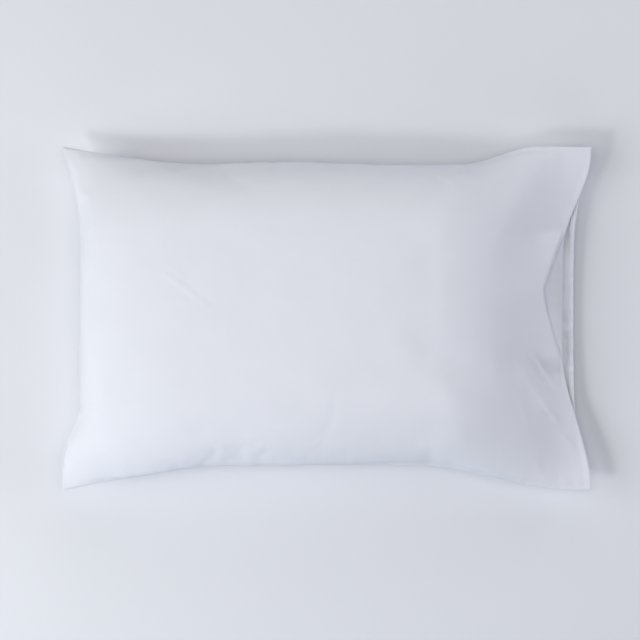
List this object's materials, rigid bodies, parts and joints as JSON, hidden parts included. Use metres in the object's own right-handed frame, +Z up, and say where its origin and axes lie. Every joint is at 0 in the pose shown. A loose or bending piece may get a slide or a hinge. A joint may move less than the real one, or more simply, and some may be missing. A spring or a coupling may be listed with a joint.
{
  "type": "pillowcase on a pillow",
  "caption": "Plain cotton pillowcase fitted on a plump pillow that lies on its back, with sewn ears, drawn-in sides and a narrow-hemmed open end.",
  "frame": {"origin": "middle of the footprint, on the surface the pillow lies on", "axes": "+X along the pillow's length towards the open end, +Y across it, +Z up through the front panel"},
  "size_m": [0.7462, 0.4845, 0.1497],
  "materials": {
    "case_cotton": "matte plain-weave cotton",
    "pillow_ticking": "matte cotton ticking"
  },
  "bodies": {
    "root": {"front_panel": "case_cotton", "back_panel": "case_cotton", "pillow": "pillow_ticking"}
  },
  "joints": []
}
